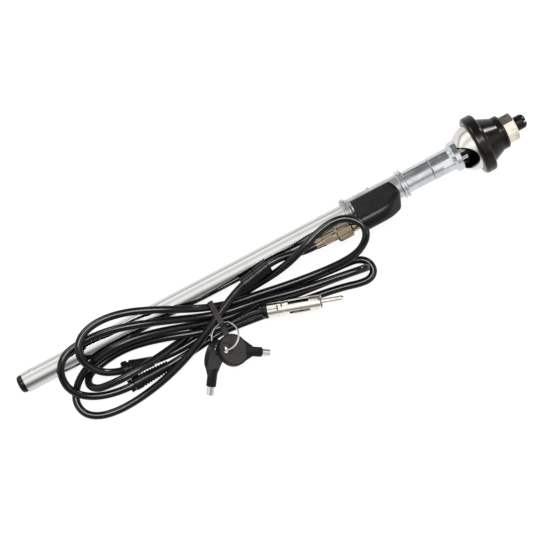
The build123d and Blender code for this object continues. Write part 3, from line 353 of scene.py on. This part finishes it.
class Value:
    """One output socket. Arithmetic adds Math nodes; node() adds any other node and returns its output."""

    def __init__(self, tree, socket=None):
        self.tree = tree
        self.socket = socket

    def node(self, kind, inputs=None, settings=None, output=0):
        """Adds a node of this kind: its settings first, then the values or links of its inputs."""
        made = self.tree.nodes.new(kind)
        for name, value in (settings or {}).items():
            if name == "stops":
                while len(made.color_ramp.elements) < len(value):
                    made.color_ramp.elements.new(0.5)
                for element, (position, colour) in zip(made.color_ramp.elements, value):
                    element.position = position
                    element.color = (*colour, 1.0)
            else:
                setattr(made, name, value)
        for name, value in (inputs or {}).items():
            if isinstance(value, Value):
                self.tree.links.new(value.socket, made.inputs[name])
            else:
                made.inputs[name].default_value = value
        return Value(self.tree, made.outputs[output])

    def math(self, operation, first, second=0.0):
        """A Math node on two values."""
        return self.node("ShaderNodeMath", {0: first, 1: second}, {"operation": operation})

    def __add__(self, other):
        return self.math("ADD", self, other)

    def __radd__(self, other):
        return self.math("ADD", other, self)

    def __sub__(self, other):
        return self.math("SUBTRACT", self, other)

    def __rsub__(self, other):
        return self.math("SUBTRACT", other, self)

    def __mul__(self, other):
        return self.math("MULTIPLY", self, other)

    def __rmul__(self, other):
        return self.math("MULTIPLY", other, self)

    def __truediv__(self, other):
        return self.math("DIVIDE", self, other)

    def __rtruediv__(self, other):
        return self.math("DIVIDE", other, self)

    def clipped(self, low, high):
        """0 at low and below, 1 at high and above, smooth between."""
        return self.node(
            "ShaderNodeMapRange",
            {"Value": self, "From Min": low, "From Max": high},
            {"interpolation_type": "SMOOTHSTEP"},
        )

    def between(self, dark, light):
        """A colour mixed from dark at 0 to light at 1."""
        return self.node(
            "ShaderNodeMix",
            {0: self, 6: (*dark, 1.0), 7: (*light, 1.0)},
            {"data_type": "RGBA"},
            output=2,
        )

    def bump(self, strength, distance):
        """This value as height, in metres times distance."""
        return self.node("ShaderNodeBump", {"Height": self, "Strength": strength, "Distance": distance})


class Finish:
    """A material with its Principled shader, its Object coordinates and the constants of its shader."""

    def __init__(self, name, **constants):
        self.material = bpy.data.materials.new(name)
        self.material.use_nodes = True
        self.tree = self.material.node_tree
        self.shader = self.tree.nodes["Principled BSDF"]
        self.start = Value(self.tree)
        self.place = self.start.node("ShaderNodeTexCoord", output="Object")
        for socket, value in constants.items():
            self.feed(socket.replace("_", " "), value)

    def feed(self, socket, value):
        """Sets a constant on the shader's socket, or links what varies over the surface."""
        if isinstance(value, Value):
            self.tree.links.new(value.socket, self.shader.inputs[socket])
        else:
            self.shader.inputs[socket].default_value = value

    def stretched(self, scale):
        """Object coordinates turned to lie along the mast, then scaled in x, y and z."""
        return self.start.node(
            "ShaderNodeMapping",
            {"Vector": self.place, "Rotation": (0.0, lie, 0.0), "Scale": scale},
        )

    def noise(self, scale, detail=3.0, vector=None):
        """Noise from 0 to 1, in object coordinates or along another vector."""
        return self.start.node(
            "ShaderNodeTexNoise",
            {"Vector": vector or self.place, "Scale": scale, "Detail": detail},
        )

    def away(self, centre):
        """Distance from a point in metres."""
        return self.start.node(
            "ShaderNodeVectorMath", {0: self.place, 1: centre}, {"operation": "DISTANCE"}, output="Value"
        )

    def dress(self, *names):
        """Puts the material on CAD nodes and pieces, by name."""
        for name in names:
            piece = nodes.get(name) or bpy.data.objects[name]
            piece.data.materials.clear()
            piece.data.materials.append(self.material)


print("shader helpers ready")

# %% [markdown]
# The base tube is bright chrome over drawn steel. A mirror has no colour of its own, so the work is in
# its small faults: faint lines along the draw, and a few handling marks where the shine is duller. The
# lines are noise stretched a hundred times along the mast.

# %% Chrome of the tube
chrome = Finish("tube_chrome", Metallic=1.0)
drawn = chrome.noise(1.0, 4.0, chrome.stretched((9.0, 1400.0, 1400.0)))
handled = chrome.noise(60.0, 5.0).clipped(0.55, 0.8)
chrome.feed("Base Color", handled.between((0.56, 0.56, 0.545), (0.47, 0.48, 0.46)))
chrome.feed("Roughness", 0.05 + 0.05 * drawn + 0.10 * handled)
chrome.feed("Normal", drawn.bump(0.10, 0.00004))
chrome.dress("base_tube", "mast_section_1", "mast_section_2", "mast_section_3", "tip_rod")
print("chrome on the tube and the telescope")

# %% [markdown]
# The sleeve and neck are zinc plated steel: a bluish plate, a little softer than chrome, with the marks
# of the lathe in rings round the mast. The dome's plate is warmer and uneven, and the housing and its
# collar have less polish.

# %% Zinc plate
zinc = Finish("zinc_plate", Metallic=1.0)
turned = zinc.noise(1.0, 2.0, zinc.stretched((5200.0, 60.0, 60.0)))
cloudy = zinc.noise(170.0, 4.0).clipped(0.35, 0.8)
zinc.feed("Base Color", cloudy.between((0.56, 0.58, 0.60), (0.46, 0.48, 0.49)))
zinc.feed("Roughness", 0.10 + 0.05 * turned + 0.10 * cloudy)
zinc.feed("Normal", turned.bump(0.12, 0.00004))
zinc.dress("flange_sleeve", "swivel_neck")

dome_plate = Finish("dome_plate", Metallic=1.0)
smear = dome_plate.noise(110.0, 4.0).clipped(0.35, 0.8)
dome_plate.feed("Base Color", smear.between((0.66, 0.645, 0.60), (0.50, 0.485, 0.44)))
dome_plate.feed("Roughness", 0.15 + 0.14 * smear)
dome_plate.feed("Normal", smear.bump(0.35, 0.0003))
dome_plate.dress("swivel_dome")

dull_zinc = Finish("dull_zinc", Metallic=1.0)
lathe = dull_zinc.noise(1.0, 2.0, dull_zinc.stretched((3800.0, 80.0, 80.0)))
stain = dull_zinc.noise(140.0, 5.0).clipped(0.4, 0.75)
dull_zinc.feed("Base Color", stain.between((0.50, 0.51, 0.49), (0.37, 0.39, 0.37)))
dull_zinc.feed("Roughness", 0.18 + 0.10 * lathe + 0.12 * stain)
dull_zinc.feed("Normal", lathe.bump(0.18, 0.00005))
dull_zinc.dress("retaining_collar", "upper_housing")
print("zinc on the head and housing")

# %% [markdown]
# The nut and the plug are nickel over brass, warmer than zinc. The plug is pale; the nut is darker where
# it has been handled.

# %% Nickel
nickel = Finish("warm_nickel", Metallic=1.0)
worn = nickel.noise(240.0, 4.0).clipped(0.45, 0.75)
nickel.feed("Base Color", worn.between((0.66, 0.61, 0.52), (0.48, 0.43, 0.35)))
nickel.feed("Roughness", 0.14 + 0.14 * worn)
nickel.feed("Normal", nickel.noise(900.0, 2.0).bump(0.06, 0.00004))
nickel.dress("top_nut")

pale_nickel = Finish("pale_nickel", Metallic=1.0)
rubbed_plate = pale_nickel.noise(300.0, 4.0).clipped(0.4, 0.8)
pale_nickel.feed("Base Color", rubbed_plate.between((0.82, 0.79, 0.71), (0.64, 0.60, 0.53)))
pale_nickel.feed("Roughness", 0.12 + 0.14 * rubbed_plate)
pale_nickel.feed("Normal", pale_nickel.noise(700.0, 2.0).bump(0.05, 0.00004))
pale_nickel.dress("plug_sheet", "plug_pin")
print("nickel on the nut and plug")

# %% [markdown]
# The connector under the outlet is nickel that has gone brown, with fine brush marks along it. The feet,
# the contact ring and the wire inside have the same finish.

# %% Brown nickel of the connector
brass = Finish("brown_nickel", Metallic=1.0)
brushed = brass.noise(1.0, 3.0, brass.stretched((260.0, 1800.0, 1800.0)))
brass.feed("Base Color", brushed.between((0.20, 0.15, 0.095), (0.54, 0.45, 0.33)))
brass.feed("Roughness", 0.13 + 0.14 * brushed)
brass.feed("Normal", brushed.bump(0.15, 0.00005))
brass.dress(
    "coupling_nut", "lead_ferrule", "outlet_stub", "contact_ring", "feed_wire",
    "section_1_foot", "section_2_foot", "section_3_foot", "rod_foot",
)
print("brown nickel on the connector")

# %% [markdown]
# The outlet and the fittings on the lead are black moulded plastic with a fine satin grain. The gasket,
# cone, ring and knob are glossier. Black plastic shows mostly what it reflects, so its gloss has to
# drift over a few millimetres, or it looks like a hole in the picture.

# %% Black mouldings
moulding = Finish("black_moulding", Specular_IOR_Level=0.11)
grain = moulding.noise(2600.0, 2.0)
drift = moulding.noise(120.0, 3.0)
moulding.feed("Base Color", drift.between((0.002, 0.002, 0.002), (0.005, 0.004, 0.004)))
moulding.feed("Roughness", 0.17 + 0.16 * drift)
moulding.feed("Normal", (grain + 1.5 * drift).bump(0.12, 0.00006))
moulding.dress(
    "outlet_moulding", "tail_plug", "inline_barrel", "bulkhead_grommet", "ribbed_boot", "guide_liner",
    "neck_stem", "plug_collar", "plug_insulator", "sleeve_guide",
)

gloss = Finish("gloss_black", Specular_IOR_Level=0.16)
ripple = gloss.noise(300.0, 2.0)
gloss.feed("Base Color", ripple.between((0.002, 0.001, 0.001), (0.005, 0.004, 0.003)))
gloss.feed("Roughness", 0.12 + 0.12 * ripple)
gloss.feed("Normal", ripple.bump(0.06, 0.0001))
gloss.dress("panel_gasket", "trim_cone", "ring_seal", "tip_knob", "boot_ferrule")
print("black on the mouldings")

# %% [markdown]
# The lead's sheath is soft PVC, glossy and black, with the faint rub marks of a cable that has been
# coiled.

# %% Lead sheath
sheath = Finish("lead_pvc", Specular_IOR_Level=0.20)
rubbed = sheath.noise(420.0, 4.0)
sheath.feed("Base Color", rubbed.between((0.001, 0.001, 0.001), (0.004, 0.004, 0.004)))
sheath.feed("Roughness", 0.14 + 0.08 * rubbed)
sheath.feed("Normal", rubbed.bump(0.03, 0.00005))
sheath.dress("lead_sheath")
print("sheath on the lead")

# %% [markdown]
# The keys have bows of matt black plastic, a shade greyer on the flat disc round the eye, and tips of bare
# steel. The left key lies rolled away from the light, so its disc gets only a third of the grey, as painted
# shade. The wire ring and the lock barrel are the same steel. The tie is a soft strip of dark plastic.

# %% Keys, ring and tie
key_plastic = Finish("key_plastic", Specular_IOR_Level=0.12)
key_grain = key_plastic.noise(3200.0, 2.0)
front_centre = (-0.19088, -0.04272, floor_height + 0.01435)
left_centre = (-0.20219, -0.04017, floor_height + 0.01161)
disc_radius, disc_rim = 0.0090, 0.0098
front_disc = 1.0 - key_plastic.away(front_centre).clipped(disc_radius, disc_rim)
left_disc = 1.0 - key_plastic.away(left_centre).clipped(disc_radius, disc_rim)
# The left key's disc is dimmed to 0.3 of the grey: painted shade for a key rolled away from the light.
disc_grey_left_shaded = key_plastic.start.math("MAXIMUM", front_disc, 0.3 * left_disc)
greyed = disc_grey_left_shaded * (0.6 + 0.5 * key_grain)
key_plastic.feed("Base Color", greyed.between((0.003, 0.003, 0.003), (0.021, 0.019, 0.017)))
key_plastic.feed("Roughness", 0.34 + 0.14 * key_grain)
key_plastic.feed("Normal", key_grain.bump(0.2, 0.00006))
key_plastic.dress("front_key_bow", "left_key_bow")

steel = Finish("key_steel", Metallic=1.0)
scuffed = steel.noise(700.0, 4.0)
steel.feed("Base Color", scuffed.between((0.52, 0.51, 0.50), (0.64, 0.63, 0.62)))
steel.feed("Roughness", 0.14 + 0.2 * scuffed)
steel.feed("Normal", scuffed.bump(0.06, 0.00005))
steel.dress("front_key_tip", "left_key_tip", "key_ring", "lock_barrel")

tie_plastic = Finish("tie_plastic", Specular_IOR_Level=0.14)
tie_ribs = tie_plastic.noise(900.0, 2.0)
tie_plastic.feed("Base Color", tie_ribs.between((0.005, 0.004, 0.004), (0.015, 0.012, 0.010)))
tie_plastic.feed("Roughness", 0.38 + 0.2 * tie_ribs)
tie_plastic.feed("Normal", tie_ribs.bump(0.3, 0.0001))
tie_plastic.dress("bundle_tie")
print("keys, ring and tie dressed")

# %% [markdown]
# The floor is plain white paper. It glows for rays from the camera and for mirrored and transmitted
# rays, so polished plate shows the same white. The matt share that is left keeps a soft trace of the
# shadow.

# %% Floor
reach = 20.0
glow_share = 0.88
paper_height = floor_height - 0.0001
paper_mesh = bpy.data.meshes.new("floor_sheet")
paper_corners = [
    (-reach, -reach, paper_height), (reach, -reach, paper_height),
    (reach, reach, paper_height), (-reach, reach, paper_height),
]
paper_mesh.from_pydata(paper_corners, [], [(0, 1, 2, 3)])
floor_sheet = bpy.data.objects.new("floor_sheet", paper_mesh)
scene.collection.objects.link(floor_sheet)
paper = bpy.data.materials.new("floor_paper")
paper.use_nodes = True
paper.node_tree.nodes.clear()
sheet = Value(paper.node_tree)
seen = sheet.node("ShaderNodeLightPath", output="Is Camera Ray")
mirrored = sheet.node("ShaderNodeLightPath", output="Is Glossy Ray")
through = sheet.node("ShaderNodeLightPath", output="Is Transmission Ray")
white = sheet.node("ShaderNodeEmission", {"Color": (1.0, 1.0, 1.0, 1.0), "Strength": 1.0})
matt = sheet.node("ShaderNodeBsdfDiffuse", {"Color": (0.88, 0.88, 0.88, 1.0)})
share = sheet.math("MINIMUM", seen + mirrored + through, 1.0)
paper_mix = sheet.node("ShaderNodeMixShader", {0: share * glow_share, 1: matt, 2: white})
paper_out = paper.node_tree.nodes.new("ShaderNodeOutputMaterial")
paper.node_tree.links.new(paper_mix.socket, paper_out.inputs["Surface"])
floor_sheet.data.materials.append(paper)
print("floor at", floor_height)

# %% [markdown]
# The studio round it is one dome of light with soft bands from side to side, light where a studio has
# its panels and dark between them. A round bar keeps the direction along its axis when it mirrors a ray,
# so the bands may differ along the mast: one set for the tube, and a darker one over the head, which
# draws the deep grey stripe on the sleeve and neck.

# %% Studio dome
world = bpy.data.worlds.new("studio")
scene.world = world
world.use_nodes = True
world.node_tree.nodes.clear()
sky = Value(world.node_tree)
direction = sky.node("ShaderNodeTexCoord", output="Generated")
sky_y = sky.node("ShaderNodeSeparateXYZ", {0: direction}, output="Y")
sky_z = sky.node("ShaderNodeSeparateXYZ", {0: direction}, output="Z")
lean = sky.math("ARCTAN2", 0.0 - sky_y, sky_z) / (2.0 * math.pi) + 0.5
headwards = sky.node(
    "ShaderNodeVectorMath", {0: direction, 1: tuple(mast)}, {"operation": "DOT_PRODUCT"}, output="Value"
)
teal = (0.75, 1.10, 1.05)


def lean_stop(degrees, level, tint=(1.0, 1.0, 1.0)):
    """A ramp stop: the dome's level at this many degrees from straight up towards -Y, with a tint."""
    return degrees / 360.0 + 0.5, tuple(level * part for part in tint)


def lean_bands(*stops):
    """Bands of the dome by how far a direction leans from straight up."""
    return sky.node("ShaderNodeValToRGB", {"Fac": lean}, {"stops": list(stops)})


tube_bands = lean_bands(
    lean_stop(-118, 0.20), lean_stop(-104, 0.12, teal), lean_stop(-90, 0.14, teal), lean_stop(-82, 0.42),
    lean_stop(-74, 0.80), lean_stop(-60, 0.96), lean_stop(-46, 0.80), lean_stop(-32, 0.56),
    lean_stop(-20, 0.82), lean_stop(-8, 1.0), lean_stop(7, 0.90), lean_stop(24, 0.56),
    lean_stop(36, 0.28), lean_stop(48, 0.14), lean_stop(62, 0.20), lean_stop(82, 0.42), lean_stop(100, 0.5),
)
head_bands = lean_bands(
    lean_stop(-120, 0.70), lean_stop(-104, 0.55), lean_stop(-94, 0.28, teal), lean_stop(-82, 0.07),
    lean_stop(-60, 0.12), lean_stop(-34, 0.09), lean_stop(-12, 0.12), lean_stop(0, 0.48),
    lean_stop(10, 0.88), lean_stop(26, 1.0), lean_stop(42, 0.84), lean_stop(54, 0.42),
    lean_stop(66, 0.34), lean_stop(80, 0.66), lean_stop(96, 0.80), lean_stop(120, 0.6),
)
over_head = headwards.clipped(0.070, 0.088)
bands = sky.node(
    "ShaderNodeMix", {0: over_head, 6: tube_bands, 7: head_bands}, {"data_type": "RGBA"}, output=2
)
dome = sky.node("ShaderNodeBackground", {"Color": bands, "Strength": 1.65})
world_out = world.node_tree.nodes.new("ShaderNodeOutputWorld")
world.node_tree.links.new(dome.socket, world_out.inputs["Surface"])
print("dome of", world.name)

# %% [markdown]
# Four soft lamps draw the bright lines along the black lead and mouldings, and the spot on the cone.
# Light linking keeps them off bare metal, which takes its light from the dome, so that no lamp burns a
# white hole into it.

# %% Lamps
bare_metals = {
    "tube_chrome", "zinc_plate", "dull_zinc", "dome_plate",
    "warm_nickel", "pale_nickel", "brown_nickel", "key_steel",
}
dressed = [*nodes.values(), lead, outlet, plug_sleeve]
dull_pieces = [piece for piece in dressed if piece.data.materials[0].name not in bare_metals]
lamp_lit = bpy.data.collections.new("lamp_lit")
for piece in [*dull_pieces, floor_sheet]:
    lamp_lit.objects.link(piece)


def soft_lamp(name, place, aim, width, depth, power):
    """An area lamp at a place, turned towards a point, for the pieces that lamps light."""
    lamp_data = bpy.data.lights.new(name, "AREA")
    lamp_data.shape = "RECTANGLE"
    lamp_data.size = width
    lamp_data.size_y = depth
    lamp_data.energy = power
    lamp = bpy.data.objects.new(name, lamp_data)
    look = (Vector(aim) - Vector(place)).to_track_quat("-Z", "Y").to_matrix().to_4x4()
    lamp.matrix_world = Matrix.Translation(Vector(place)) @ look
    lamp.light_linking.receiver_collection = lamp_lit
    scene.collection.objects.link(lamp)


middle = (-0.14, -0.01, 0.0)
head = (0.01, 0.0, 0.01)
soft_lamp("key_lamp", (-0.35, 1.20, 0.78), middle, width=0.5, depth=0.5, power=8.0)
soft_lamp("top_lamp", (-0.20, 0.15, 1.7), middle, width=0.7, depth=0.7, power=40.0)
soft_lamp("fill_lamp", (0.65, -0.8, 1.0), middle, width=0.5, depth=0.5, power=2.5)
soft_lamp("side_lamp", (0.89, 0.61, 0.56), head, width=0.26, depth=0.22, power=12.0)
print("pieces lit by lamps", len(dull_pieces))

# %% [markdown]
# The view transform stays plain.

# %% Close
scene.view_settings.view_transform = "Standard"
bpy.context.view_layer.update()
